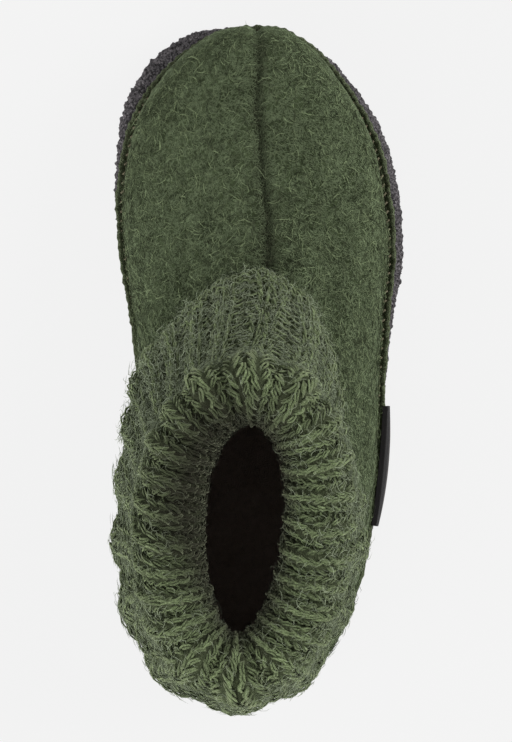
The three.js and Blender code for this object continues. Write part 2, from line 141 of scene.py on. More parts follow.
# %% Smooth lines and outlines
def line_through(x, y):
    """A smooth line through a table: between two points, a cubic that leaves and arrives
    with each point's slope, the mean of the slopes beside it weighted by width."""
    x, y = np.array(x, float), np.array(y, float)
    width = np.diff(x)
    steep = np.diff(y) / width
    inner = (steep[:-1] * width[1:] + steep[1:] * width[:-1]) / (width[1:] + width[:-1])
    slope = np.concatenate([steep[:1], inner, steep[-1:]])

    def at(place):
        """The curve's value at a place."""
        i = np.clip(np.searchsorted(x, place) - 1, 0, len(x) - 2)
        t = np.clip((place - x[i]) / width[i], 0, 1)
        ease = t * t * (3 - 2 * t)
        leaving = t * (1 - t) ** 2 * width[i] * slope[i]
        arriving = t * t * (t - 1) * width[i] * slope[i + 1]
        return (1 - ease) * y[i] + ease * y[i + 1] + leaving + arriving

    return at


def smooth_loop(corners, steps):
    """A closed curve through the corners: on each stretch a cubic whose end directions come
    from the three chords near it, each divided by the root of its length."""
    before, start, end, after = (np.roll(corners, -k, axis=0) for k in (-1, 0, 1, 2))
    root = [np.linalg.norm(b - a, axis=1)[:, None] ** 0.5
            for a, b in ((before, start), (start, end), (end, after))]
    chord = (end - start) / root[1]
    leave = (start - before) / root[0] - (end - before) / (root[0] + root[1]) + chord
    arrive = chord - (after - start) / (root[1] + root[2]) + (after - end) / root[2]
    leave, arrive = leave * root[1], arrive * root[1]
    t = (np.arange(steps) / steps)[None, :, None]
    start, end, leave, arrive = (a[:, None] for a in (start, end, leave, arrive))
    cubic = 2 * start - 2 * end + leave + arrive
    square = -3 * start + 3 * end - 2 * leave - arrive
    return (start + leave * t + square * t**2 + cubic * t**3).reshape(-1, 2)


def even_halves(points, heel):
    """A closed outline as a function of around: 0 at the toe, 0.5 at the heel, and even in
    length along each half."""
    loop = np.vstack([points, points[:1]])
    steps = np.linalg.norm(np.diff(loop, axis=0), axis=1)
    reach = np.concatenate([[0], np.cumsum(steps)])

    def at(around):
        """The outline's point at a place round it."""
        share = (np.asarray(around, float) % 1) * 2
        back = reach[heel] + (share - 1) * (reach[-1] - reach[heel])
        length = np.where(share <= 1, share * reach[heel], back)
        return np.stack([np.interp(length, reach, loop[:, k]) for k in (0, 1)], axis=-1)

    return at


# %% The sole's edge and the cuff's opening
sole_corners = np.array(
    [TOE_POINT]
    + list(zip(SOLE_OUTER, SOLE_ALONG))[::-1]
    + [HEEL_POINT]
    + [(-inner, along) for inner, along in zip(SOLE_INNER, SOLE_ALONG)]
) * [BALL_WIDTH, SOLE_LENGTH]
edge_at = even_halves(smooth_loop(sole_corners, 24), (len(SOLE_ALONG) + 1) * 24)
rim_at = line_through(RIM_AROUND, RIM_SHOWS)

turn = np.linspace(0, 2 * np.pi, 360, endpoint=False)
half_size = np.array([OPENING_WIDTH, OPENING_LENGTH]) / 2
oval = np.stack([np.sin(turn) * (1 + 0.12 * np.cos(turn)), np.cos(turn)], axis=1)
outward = oval / half_size
outward /= np.linalg.norm(outward, axis=1)[:, None]
oval = oval * half_size + outward * KNIT_THICKNESS
cos_turn, sin_turn = math.cos(-OPENING_TURN), math.sin(-OPENING_TURN)
oval = oval @ np.array([[cos_turn, sin_turn], [-sin_turn, cos_turn]])
oval[:, 1] += SOLE_LENGTH - OPENING_BEHIND_TOE
fold_at = even_halves(oval, 180)
print("sole is", np.ptp(edge_at(np.linspace(0, 1, 400)), axis=0).round(1), "mm across and long")

# %% [markdown]
# ## The wall of the slipper
# The wool and the knit follow one wall, from the seam on the sole up to the cuff's fold.
# It is a function of two numbers: how far round the slipper, and how far up. Every later
# surface asks it for a point and for the directions up and out there.


# %% Heights of the sole and places on it
def sole_under(y):
    """The underside: level, with a square-law lift at the toe and a cosine arch."""
    toe = np.clip((y / SOLE_LENGTH - 0.7) / 0.3, 0, None)
    arch = np.minimum(1, np.abs(y / SOLE_LENGTH - 0.46) / 0.15)
    return TOE_SPRING * toe**2 + ARCH_RISE * np.cos(arch * np.pi / 2) ** 2


def sole_top(y):
    """The top: the sole's thickness above the floor, lifted with the toe."""
    toe = np.clip((y / SOLE_LENGTH - 0.7) / 0.3, 0, None)
    return SOLE_THICKNESS + TOE_SPRING * toe**2


def inside_edge(around, inset):
    """A point of the sole's edge, moved in from it at right angles."""
    run = edge_at(around + 0.004) - edge_at(around - 0.004)
    run /= np.linalg.norm(run, axis=-1, keepdims=True)
    inward = np.stack([run[..., 1], -run[..., 0]], axis=-1)
    return edge_at(around) + inward * np.asarray(inset)[..., None]


def seam_inset(around):
    """How far in from the sole's edge the upper stands: the showing rim and the lip."""
    return rim_at(around % 1) * RIM_WIDTH + LIP_WIDTH


def with_height(flat, z):
    """Points from their places in the plane and their heights."""
    return np.concatenate([flat, z[..., None]], axis=-1)


def on_sole(around, inset, height):
    """A point inside the upper's seam line by an inset, a height above the sole."""
    flat = inside_edge(around, seam_inset(around) + inset)
    return with_height(flat, sole_top(flat[..., 1]) + GAP + height)


# %% The wall and its directions
sway_at = line_through(WALL_RISE, WALL_SWAY)
inward_at = {name: line_through(WALL_RISE, column) for name, column in WALL_INWARD.items()}
counts_at = {
    name: line_through(STATION_AROUND, [float(name == other) for other in STATION_NAMES])
    for name in WALL_INWARD
}


def from_toe(around):
    """How far round a place lies from the toe, by the nearer way."""
    return np.minimum(around % 1, 1 - around % 1)


def wall_at(around, rise):
    """The wall's outer face: the seam's outline blended to the fold's outline by the
    table's share, swayed sideways, and raised evenly from the sole to the fold."""
    around, rise = np.broadcast_arrays(around, rise)
    near = from_toe(around)
    share = sum(inward_at[name](rise) * counts_at[name](near) for name in WALL_INWARD)
    seam = inside_edge(around, seam_inset(around))
    forward = 0.5 + 0.5 * np.cos(around * 2 * np.pi)
    top = FOLD_HEIGHT_BACK + (FOLD_HEIGHT_FRONT - FOLD_HEIGHT_BACK) * forward
    bottom = sole_top(seam[..., 1]) + GAP
    flat = seam + (fold_at(around) - seam) * share[..., None]
    sway = sway_at(rise) * (-SHAFT_LEAN + (SHAFT_LEAN + VAMP_DRIFT) * forward)
    z = bottom + (top - bottom) * rise
    return np.stack([flat[..., 0] + sway, flat[..., 1], z], axis=-1)


def unit(vectors):
    """The same directions, each one long."""
    return vectors / np.maximum(np.linalg.norm(vectors, axis=-1, keepdims=True), 1e-12)


def wall_frame(around, rise):
    """A point of the wall, the direction up it, and the direction out of it, which is at
    right angles to going up and to going round."""
    ahead = wall_at(around + 0.004, rise) - wall_at(around - 0.004, rise)
    above = wall_at(around, np.minimum(1, rise + 0.004))
    up = unit(above - wall_at(around, np.maximum(0, rise - 0.004)))
    return wall_at(around, rise), up, unit(np.cross(up, ahead))


# %% [markdown]
# ## Roughness that repeats
# Wool and felt are uneven at several sizes at once. A lattice of random numbers, blended
# smoothly between its points, gives one size of unevenness, and a few lattices added up
# give the rest. The numbers are seeded, so the slipper is the same each time.


# %% Unevenness on a lattice
def lumps(points, size, seed):
    """Smooth random values between -1 and 1: each point's eight lattice neighbours, a
    given size apart, blended by the eased distances to them."""
    lattice = np.random.default_rng(seed).uniform(-1, 1, (32, 32, 32))
    place = np.asarray(points) / size
    cell = np.floor(place).astype(int)
    part = place - cell
    ease = part * part * (3 - 2 * part)
    total = np.zeros(place.shape[:-1])
    for corner in np.ndindex(2, 2, 2):
        weight = np.prod(np.where(corner, ease, 1 - ease), axis=-1)
        i, j, k = np.moveaxis((cell + corner) % 32, -1, 0)
        total += weight * lattice[i, j, k]
    return total


# %% [markdown]
# ## From arrays to meshes
# Every surface here is a grid of points, and every thread is a short tube of rings. Two
# helpers turn them into closed meshes with their faces outwards, and a third one puts the
# result into the scene as one piece that rides on the slipper.


# %% Grids, tubes and pieces
def grid_faces(rows, columns, closed_rows, closed_columns):
    """The four-cornered cells of a grid of points, joined round where it closes."""
    i = np.arange(rows if closed_rows else rows - 1)[:, None]
    j = np.arange(columns if closed_columns else columns - 1)[None, :]
    below, beside = (i + 1) % rows, (j + 1) % columns
    corners = [i * columns + j, i * columns + beside, below * columns + beside,
               below * columns + j]
    return np.stack(corners, axis=-1).reshape(-1, 4)


def make_piece(name, points, *faces, replaces=(), slot):
    """A mesh of the points, in millimetres, and groups of faces, each with its own number
    of corners, put into the scene as a smooth piece that rides on the slipper."""
    corners = np.concatenate([group.ravel() for group in faces])
    sizes = np.concatenate([np.full(len(group), group.shape[1]) for group in faces])
    mesh = bpy.data.meshes.new(name)
    mesh.vertices.add(len(points))
    metres = (points - MODEL_ORIGIN) * 0.001
    mesh.vertices.foreach_set("co", metres.astype(np.float32).ravel())
    mesh.loops.add(len(corners))
    mesh.loops.foreach_set("vertex_index", corners.astype(np.int32))
    mesh.polygons.add(len(sizes))
    mesh.polygons.foreach_set("loop_start", (np.cumsum(sizes) - sizes).astype(np.int32))
    mesh.update(calc_edges=True)
    mesh.polygons.foreach_set("use_smooth", np.full(len(sizes), True))
    piece = bpy.data.objects.new(name, mesh)
    bpy.context.collection.objects.link(piece)
    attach(piece, "root")
    if replaces:
        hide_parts(*replaces)
    print(f"{name}: {int((sizes - 2).sum())} triangles")
    return piece


def volume_of(points, faces):
    """Six times the volume inside the faces: positive where they face outwards."""
    a, b, c, d = (points[faces[:, k]] for k in range(4))
    return np.sum(a * (np.cross(b, c) + np.cross(c, d)))


def outward_faces(points, faces):
    """The faces, turned over if they face inwards."""
    return faces if volume_of(points, faces) > 0 else faces[:, ::-1]


def set_values(piece, name, values):
    """Keeps one number for each point of a piece, for its material to read."""
    layer = piece.data.attributes.new(name, "FLOAT", "POINT")
    layer.data.foreach_set("value", np.asarray(values, np.float32).ravel())


def ring_directions(lines, side):
    """For each point of many lines, two directions at right angles to the line: one across
    the side direction, and one that lifts towards it."""
    run = unit(np.gradient(lines, axis=1))
    across = unit(np.cross(run, side[:, None, :]))
    return across, np.cross(across, run)


def ring_points(lines, directions, radius, corners):
    """Rings of corners round the points of many lines, each at its radius."""
    across, lift = (direction[:, :, None] for direction in directions)
    angle = ((np.arange(corners) / corners + 1 / 12) * 2 * np.pi)[:, None]
    radius = np.broadcast_to(radius, lines.shape[:2])[:, :, None, None]
    return lines[:, :, None] + (across * np.cos(angle) + lift * np.sin(angle)) * radius


def tubes(lines, radius, side, corners):
    """Short tubes round many lines at once. Returns all the points, the rings' cells, and
    the end caps."""
    count, rings = lines.shape[:2]
    points = ring_points(lines, ring_directions(lines, side), radius, corners).reshape(-1, 3)
    corner = np.arange(corners)
    one = grid_faces(rings, corners, False, True)
    first = np.arange(count)[:, None, None] * rings * corners
    cells = (first + one[None]).reshape(-1, 4)
    start = first[:, 0] + corner[None, :]
    end = (start + (rings - 1) * corners)[:, ::-1]
    if volume_of(points[: rings * corners] - points[0], one) < 0:
        cells, start, end = cells[:, ::-1], start[:, ::-1], end[:, ::-1]
    caps = np.concatenate([start[:, ::-1], end[:, ::-1]])
    return points, cells, caps


def pointed_threads(lines, radius, side):
    """Fine threads along lines of four points: a point at each end, and a ring of three
    corners at each of the two places between. Returns points, cells and the ends' fans."""
    count = len(lines)
    across, lift = ring_directions(lines, side)
    middle = ring_points(lines[:, 1:3], (across[:, 1:3], lift[:, 1:3]), radius, 3)
    points = np.concatenate([lines[:, :1], middle.reshape(count, 6, 3), lines[:, 3:]], axis=1)
    first = np.arange(count)[:, None, None] * 8
    cells = first + np.array([[1, 4, 5, 2], [2, 5, 6, 3], [3, 6, 4, 1]])
    fans = first + np.array([[0, 1, 2], [0, 2, 3], [0, 3, 1], [4, 7, 5], [5, 7, 6], [6, 7, 4]])
    return points.reshape(-1, 3), cells.reshape(-1, 4), fans.reshape(-1, 3)


# %% [markdown]
# ## Materials
# Cloth is matt, with a faint light bloom where loose fibres catch the light at the edge.
# The shader's sheen does that. Its colour comes from noise at two sizes, so that no patch
# is plain. Over it lie thin curling lines of lighter fibre: a smooth noise passes its
# middle value along such lines, so a narrow band about that value draws them. The
# coordinates are the object's own.


# %% A material of mottled, fibrous cloth
def node(tree, kind, **settings):
    """A shader node with its inputs or properties set by name."""
    made = tree.nodes.new(kind)
    for key, value in settings.items():
        if key in made.inputs:
            made.inputs[key].default_value = value
        else:
            setattr(made, key, value)
    return made


def maths(tree, operation, *values, clamp=False):
    """One sum on sockets or numbers."""
    made = node(tree, "ShaderNodeMath", operation=operation, use_clamp=clamp)
    for socket, value in zip(made.inputs, values):
        if isinstance(value, bpy.types.NodeSocket):
            tree.links.new(value, socket)
        else:
            socket.default_value = value
    return made.outputs[0]


def ramp(tree, value, stops):
    """A run of colours read by a value."""
    made = tree.nodes.new("ShaderNodeValToRGB")
    elements = made.color_ramp.elements
    while len(elements) < len(stops):
        elements.new(0.5)
    for element, (place, colour) in zip(elements, stops):
        element.position = place
        element.color = (*colour, 1)
    tree.links.new(value, made.inputs["Fac"])
    return made.outputs["Color"]


def blend(tree, share, first, second, how="MIX"):
    """Two colours blended by a share, which is a socket or a number."""
    made = node(tree, "ShaderNodeMix", data_type="RGBA", blend_type=how)
    for socket, value in ((made.inputs[0], share), (made.inputs[6], first),
                          (made.inputs[7], second)):
        if isinstance(value, bpy.types.NodeSocket):
            tree.links.new(value, socket)
        else:
            socket.default_value = value if isinstance(value, float) else (*value, 1)
    return made.outputs[2]


def noise(tree, place, scale, detail, distortion, seed):
    """Smooth noise of a scale, in waves per metre."""
    made = node(tree, "ShaderNodeTexNoise", noise_dimensions="4D", W=seed, Scale=scale,
                Detail=detail, Distortion=distortion)
    tree.links.new(place, made.inputs["Vector"])
    return made.outputs["Fac"]


def fibre_lines(tree, place, scale, width, seed):
    """Thin curling lines: one less how far a noise lies from its middle, in widths."""
    off = maths(tree, "ABSOLUTE", maths(tree, "SUBTRACT", noise(tree, place, scale, 1.0, 0.8,
                                                                seed), 0.5))
    return maths(tree, "MULTIPLY_ADD", off, -1 / width, 1.0, clamp=True)


def cloth(name, colours, mottle_scale, fibre_scale, bump, roughness=0.95, sheen=0.3):
    """A matt cloth: a dark and a middle colour mixed by coarse noise, and a light one
    where one of four sets of fibre lines runs, which raise its surface too. Returns the
    material, its tree, its colour socket and its shader."""
    material = bpy.data.materials.new(name)
    material.use_nodes = True
    tree = material.node_tree
    shader = tree.nodes["Principled BSDF"]
    shader.inputs["Roughness"].default_value = roughness
    shader.inputs["Sheen Weight"].default_value = sheen
    shader.inputs["Sheen Roughness"].default_value = 0.5
    shader.inputs["Sheen Tint"].default_value = (*[min(1, c * 4) for c in colours[2]], 1)
    shader.inputs["Specular IOR Level"].default_value = 0.1
    place = tree.nodes.new("ShaderNodeTexCoord").outputs["Object"]
    mottle = noise(tree, place, mottle_scale, 4.0, 0.4, 0.0)
    dark, middle, light = colours
    colour = ramp(tree, mottle, [(0.34, dark), (0.6, middle)])
    fibres = 0.0
    for seed, (size, width) in enumerate(((1, 0.026), (1.3, 0.03), (1.7, 0.036), (2.2, 0.044))):
        line = fibre_lines(tree, place, fibre_scale * size, width, seed + 1.0)
        fibres = maths(tree, "MAXIMUM", line, fibres)
    grain = noise(tree, place, fibre_scale * 4, 2.0, 0.5, 9.0)
    colour = blend(tree, maths(tree, "MULTIPLY", fibres, 0.8), colour, light)
    shade = ramp(tree, grain, [(0.3, (0.62, 0.62, 0.62)), (0.7, (1.3, 1.3, 1.3))])
    colour = blend(tree, 1.0, colour, shade, "MULTIPLY")
    height = maths(tree, "MULTIPLY_ADD", grain, 0.7, fibres)
    raised = node(tree, "ShaderNodeBump", Strength=bump, Distance=0.0004)
    tree.links.new(height, raised.inputs["Height"])
    tree.links.new(raised.outputs["Normal"], shader.inputs["Normal"])
    tree.links.new(colour, shader.inputs["Base Color"])
    return material, tree, colour, shader


def value_of(tree, name):
    """The socket that reads a number kept on the piece's points."""
    return node(tree, "ShaderNodeAttribute", attribute_name=name).outputs["Fac"]


def tinted(tree, name, colour, tint):
    """A colour that turns to a tint as a number kept on the points goes to one."""
    return blend(tree, value_of(tree, name), colour, tint)


def dress(pieces, material, tree, colour, shader):
    """Leads the last colour to the shader and puts the material on the pieces."""
    tree.links.new(colour, shader.inputs["Base Color"])
    for piece in pieces:
        piece.data.materials.append(material)


# %% [markdown]
# ## The felt sole
# Thick felt is cut, not moulded, so its edge is crumbly: small torn lumps of dark grey
# fibre. It could be a bump alone, but the lumps break the outline, so they are real. The
# sole is a ring of levels up its side, closed below and above by rows straight across.

# %% Draw the sole
SOLE_AROUND = 960


def across_rows(ring, steps):
    """Rows straight across a closed ring of points: each point of its first half to the
    one opposite, in even steps, without the ends, which the ring itself holds."""
    half = len(ring) // 2
    right = ring[1:half]
    left = ring[:half:-1]
    share = np.linspace(0, 1, steps + 2)[1:-1, None, None]
    return right[None] * (1 - share) + left[None] * share


def capped_ring(levels, steps):
    """A closed mesh from rings of points: cells between the rings, and a net of rows
    across the first and the last ring. Returns points, cells and the ends' triangles."""
    rings, count = levels.shape[:2]
    points = [levels.reshape(-1, 3)]
    cells = [grid_faces(rings, count, False, True)]
    triangles = []
    offset = rings * count
    half = count // 2
    for ring, flip in ((0, True), (rings - 1, False)):
        net = across_rows(levels[ring], steps)
        ids = offset + np.arange(net.shape[0] * net.shape[1]).reshape(net.shape[:2])
        first = ring * count + np.arange(1, half)[None]
        last = ring * count + np.arange(count - 1, half, -1)[None]
        ids = np.concatenate([first, ids, last])
        a, b, c, d = ids[:-1, :-1], ids[:-1, 1:], ids[1:, 1:], ids[1:, :-1]
        quads = np.stack([a, b, c, d], axis=-1).reshape(-1, 4)
        toe = np.full(len(ids) - 1, ring * count)
        heel = np.full(len(ids) - 1, ring * count + half)
        ends = np.concatenate([np.stack([toe, ids[:-1, 0], ids[1:, 0]], axis=1),
                               np.stack([heel, ids[1:, -1], ids[:-1, -1]], axis=1)])
        cells.append(quads[:, ::-1] if flip else quads)
        triangles.append(ends[:, ::-1] if flip else ends)
        points.append(net.reshape(-1, 3))
        offset += net.shape[0] * net.shape[1]
    return np.concatenate(points), np.concatenate(cells), np.concatenate(triangles)


around = np.linspace(0, 1, SOLE_AROUND, endpoint=False)
side_rise = np.concatenate([[0, 0, 0], np.linspace(0.05, 0.95, 20), [1, 1, 1, 1, 1, 1]])
side_inset = np.concatenate([
    [9, 5, 2.2],
    1.3 * np.abs(np.linspace(-1, 1, 20)) ** 5,
    [1.6, 2.6, 3.8, 5.2, 7, 9],
])
flat = inside_edge(around[None], side_inset[:, None] + 0 * around)
height = sole_under(flat[..., 1]) * (1 - side_rise[:, None])
height = height + sole_top(flat[..., 1]) * side_rise[:, None]
levels = with_height(flat, height)
sole_points, sole_cells, sole_ends = capped_ring(levels, 8)

# %% Crumble its edge
edge_direction = unit(np.concatenate([edge_at(around) - inside_edge(around, 1 + 0 * around),
                                      np.zeros((SOLE_AROUND, 1))], axis=1))
shown = np.zeros(len(sole_points))
ring_size = len(levels) * SOLE_AROUND
weight = np.clip(np.sin(np.clip(side_rise * 1.1, 0, 1) * np.pi * 0.5) + 0.2, 0, 1)
shown[:ring_size] = np.repeat(np.where(side_rise == 0, 0.0, weight), SOLE_AROUND)
crumb = 0.2 * lumps(sole_points, 2.4, 1) + 0.55 * lumps(sole_points, 1.1, 2)
crumb = crumb + 0.55 * lumps(sole_points, 0.65, 3) - 0.75
push = np.zeros_like(sole_points)
push[:ring_size] = np.tile(edge_direction, (len(levels), 1))
on_top = np.repeat(np.clip((side_rise - 0.8) / 0.2, 0, 1), SOLE_AROUND)
push[:ring_size] *= (1 - 0.75 * on_top)[:, None]
push[:ring_size, 2] += on_top * 0.45
inset_here = np.repeat(side_inset, SOLE_AROUND)
room = np.clip((6.5 - inset_here) / 3, 0, 1)
beyond_lip = np.repeat(side_inset[:, None], SOLE_AROUND, axis=1) - seam_inset(around) + LIP_WIDTH
room = np.where(on_top > 0, np.clip(0.5 - beyond_lip.ravel(), 0, 1), room)
sole_points[:ring_size] += push[:ring_size] * (crumb[:ring_size] * shown[:ring_size]
                                                * room)[:, None]
sole_points[:, 2] = np.maximum(sole_points[:, 2], 0)
whole = np.concatenate([sole_cells,
                        np.concatenate([sole_ends, sole_ends[:, -1:]], axis=1)])
if volume_of(sole_points, whole) < 0:
    sole_cells, sole_ends = sole_cells[:, ::-1], sole_ends[:, ::-1]
sole = make_piece("felt_sole", sole_points, sole_cells, sole_ends,
                  replaces=["sole"], slot="sole_felt")

# %% Finish the sole
felt, tree, colour, shader = cloth(
    "crumbly_felt", [(0.018, 0.017, 0.019), (0.085, 0.078, 0.084), (0.24, 0.23, 0.235)],
    900.0, 700.0, 1.0, sheen=0.1)
fleck = noise(tree, tree.nodes["Texture Coordinate"].outputs["Object"], 1500.0, 2.0, 0.3, 5.0)
fleck = ramp(tree, fleck, [(0.4, (0.25, 0.25, 0.26)), (0.6, (1.9, 1.85, 1.87))])
dress([sole], felt, tree, blend(tree, 1.0, colour, fleck, "MULTIPLY"), shader)

# %% [markdown]
# ## The boiled wool upper
# Boiled wool is knitted, then shrunk until its threads disappear into one thick cloth. It
# hangs in broad soft waves and its face is pilled. The upper is one closed ring of wall:
# up the outside, over the collar's edge and down the lining, with the lip turned out at
# its foot. The columns crowd towards the toe, where the middle seam needs them.

# %% Draw the upper
WOOL_COLUMNS = 560
WOOL_ROWS = 90
even = np.linspace(0, 1, WOOL_COLUMNS, endpoint=False)
wool_around = (even - 0.1 * np.sin(2 * np.pi * even))[None]
wool_rise = np.linspace(0.02, COLLAR_RISE, WOOL_ROWS)[:, None]


def seam_distance(around, points, rise):
    """How far points on the wall lie from the middle seam, which wavers a little and
    strays to the inner side behind the toe. Anywhere but in front they lie far off."""
    waver = 0.22 * np.sin(points[..., 1] * 0.29) + 0.12 * np.sin(points[..., 1] * 0.83 + 1)
    waver = waver + 1.3 * np.exp(-(((points[..., 1] - 152) / 17) ** 2))
    beside = points[..., 0] - wall_at(0.0, rise)[..., 0] + waver
    return np.where(from_toe(around) < 0.12, beside, 99.0)


def seam_trough(beside):
    """The hollow that the seam draws in: a bell over the distance from it."""
    return SEAM_DEPTH * np.exp(-((beside / (SEAM_WIDTH / 2)) ** 2))


def seam_shade_strength(rise):
    """How strong the seam's painted shade is: faint below, where the toe's roundness pulls it
    open.
    """
    return np.clip((rise - 0.18) / 0.12, 0.15, 1)


def soft_creases(around, rise):
    """Broad dents and rolls, listed: each row is where it lies round and up the
    slipper, its half size both ways, its slant, and its height in millimetres."""
    table = [
        (0.035, 0.50, 0.020, 0.09, 0.0, 0.5),
        (0.965, 0.50, 0.020, 0.09, 0.0, 0.5),
        (0.110, 0.46, 0.035, 0.050, 0.5, -0.7),
        (0.150, 0.40, 0.040, 0.040, 0.5, 0.5),
        (0.890, 0.44, 0.035, 0.050, -0.5, -0.7),
        (0.845, 0.37, 0.040, 0.040, -0.5, 0.5),
        (0.330, 0.34, 0.030, 0.035, 0.3, -0.6),
        (0.660, 0.34, 0.030, 0.035, -0.3, -0.6),
        (0.500, 0.30, 0.050, 0.030, 0.0, -0.5),
        (0.060, 0.22, 0.030, 0.05, 0.0, -0.35),
        (0.930, 0.24, 0.030, 0.05, 0.0, -0.35),
    ]
    total = 0
    for at_around, at_rise, half_around, half_rise, slant, size in table:
        u = (around - at_around + 0.5) % 1 - 0.5
        v = rise - at_rise - slant * u
        total = total + size * np.exp(-((u / half_around) ** 2) - (v / half_rise) ** 2)
    return total


def wool_outside(around, rise):
    """The wool's outer face: the wall, less the seam's trough and slit, with the creases
    and three sizes of felted unevenness."""
    point, up, out = wall_frame(around, rise)
    beside = seam_distance(around, point, rise)
    slit = 0.45 * np.exp(-((beside / 0.8) ** 2)) * (1 + 0.6 * lumps(point, 1.6, 9))
    uneven = (0.22 * lumps(point, 9, 4) + 0.16 * lumps(point, 3.2, 5)
              + 0.14 * lumps(point, 1.3, 6))
    height = soft_creases(around, rise) + uneven - seam_trough(beside) - slit
    return point + out * height[..., None], out, beside


outside, _, beside_seam = wool_outside(wool_around, wool_rise)
lining_rise = np.linspace(COLLAR_RISE, 0.03, 14)[:, None]
lining_point, _, lining_out = wall_frame(wool_around, lining_rise)
depth = WOOL_THICKNESS + seam_trough(seam_distance(wool_around, lining_point, lining_rise))
lining = lining_point - lining_out * depth[..., None]
edge_top = (outside[-1] + lining[0]) / 2 + np.array([0, 0, 0.5])

# %% Turn out its lip
LIP_OUT = [0.7, 0.94, 1.0, 0.98, 0.88, 0.74, 0.6, 0.46, 0.32, 0.18, 0.04]
LIP_UP = [0, 0.14, 0.42, 0.72, 0.94, 1.0, 0.94, 0.7, 0.38, 0.24, 0.24]
away = unit(on_sole(wool_around[0], -1.0, 0) - on_sole(wool_around[0], 0.0, 0))
whip = np.sin(wool_around[0] * 2 * np.pi * STITCHES + 2 * np.sin(wool_around[0] * 90))
lip_foot = on_sole(wool_around[0], WOOL_THICKNESS, 0)
lip_rows = [lip_foot]
for step, (out_share, up_share) in enumerate(zip(LIP_OUT, LIP_UP)):
    row = on_sole(wool_around[0], -out_share * LIP_WIDTH, up_share * LIP_HEIGHT)
    swell = 0.2 * whip * np.sin(np.pi * step / (len(LIP_OUT) - 1)) + 0.3 * lumps(row, 1.5, 7)
    row = row + away * (swell * min(1, step))[:, None]
    lip_rows.append(row)
lip = np.stack(lip_rows)
wool_points = np.concatenate([lip, outside, edge_top[None], lining])
rows = len(wool_points)
flat_points = wool_points.reshape(-1, 3)
faces = outward_faces(flat_points, grid_faces(rows, WOOL_COLUMNS, True, True))
upper = make_piece("wool_upper", flat_points, faces, replaces=["upper"],
                   slot="boiled_wool")

# %% Mark the painted shade of the seam and of the lip's groove, and the lining
# Painted shade along the trough of the middle seam, fainter low on the toe.
seam_painted_shade = np.zeros((rows, WOOL_COLUMNS))
seam_half = 1.2 + 1.5 * wool_rise / COLLAR_RISE
seam_shade = np.exp(-((beside_seam / seam_half) ** 2)) * seam_shade_strength(wool_rise)
seam_painted_shade[len(lip):len(lip) + WOOL_ROWS] = seam_shade
set_values(upper, "seam", seam_painted_shade)
# Painted shade, brown like the thread, in the groove between the lip and the wall, and fainter
# over the lip's outer face.
painted_groove_shade = np.zeros((rows, WOOL_COLUMNS))
painted_groove_shade[1:len(lip) - 5] = 0.35
painted_groove_shade[len(lip) - 5:len(lip) + 2] = np.array([0.3, 0.45, 0.7, 0.8, 0.8, 0.65, 0.3])[:, None]
set_values(upper, "painted_groove_shade", painted_groove_shade)
lined = np.zeros((rows, WOOL_COLUMNS))
lined[len(lip) + WOOL_ROWS + 2:] = 1
set_values(upper, "lining", lined)

# %% Finish the wool
wool, tree, colour, shader = cloth(
    "boiled_wool", [(0.019, 0.027, 0.011), (0.041, 0.056, 0.026), (0.130, 0.165, 0.092)],
    120.0, 300.0, 1.1, sheen=0.45)
# Painted shade in the middle seam's trough.
colour = tinted(tree, "seam", colour, (0.008, 0.009, 0.004))
# Painted shade of the lip's groove.
colour = tinted(tree, "painted_groove_shade", colour, (0.060, 0.050, 0.034))
colour = tinted(tree, "lining", colour, (0.18, 0.138, 0.108))
dress([upper], wool, tree, colour, shader)

# %% [markdown]
# ## The ribbed knit cuff
# The cuff is a tube of rib knitting, sewn to the wool inside and turned down outside. Its
# face is a fabric of loops, so it is drawn in two parts: a body that holds the folds and
# ribs, coloured dark as painted shade between the loops, and the loops on its face as real
# lengths of yarn. Both follow one map from wales, counted round, and courses, counted from
# the collar over the fold to the edge.

# %% Lay out the knit's path
COURSES = 40
FINE_AROUND = 880
FINE_ALONG = 240
fine_around = np.linspace(0, 1, FINE_AROUND, endpoint=False)[:, None]
half_knit = KNIT_THICKNESS / 2
nearest = KNIT_CLEARANCE + half_knit + RIB_DEPTH
widest = 2 * FOLD_RADIUS - half_knit

inner_rise = np.linspace(COLLAR_RISE + 0.006, 1, 30)[None]
inner_point, _, inner_out = wall_frame(fine_around, inner_rise)
inner_path = inner_point - inner_out * half_knit

fold_point, fold_up, fold_out = wall_frame(fine_around, np.ones((1, 1)))
fold_turn = np.linspace(0, np.pi, 26)[None, 1:, None]
fold_face = fold_up * np.sin(fold_turn) - fold_out * np.cos(fold_turn)
fold_path = fold_point + fold_out * (FOLD_RADIUS - half_knit) + fold_face * FOLD_RADIUS

flap_down = np.linspace(0, 1, 50)[None, 1:]
flap_rise = 1 + (line_through(FLAP_AROUND, FLAP_RISE)(fine_around) - 1) * flap_down
flap_point, _, flap_out = wall_frame(fine_around, flap_rise)
close, flared = line_through(FLAP_DOWN, FLAP_CLOSE), line_through(FLAP_DOWN, FLAP_FLARED)
flap_open = line_through(FLAP_AROUND, FLAP_OPEN)(fine_around)
off_wall = close(flap_down) + (flared(flap_down) - close(flap_down)) * flap_open
off_wall = nearest + (widest - nearest) * off_wall
flap_path = flap_point + flap_out * off_wall[..., None]

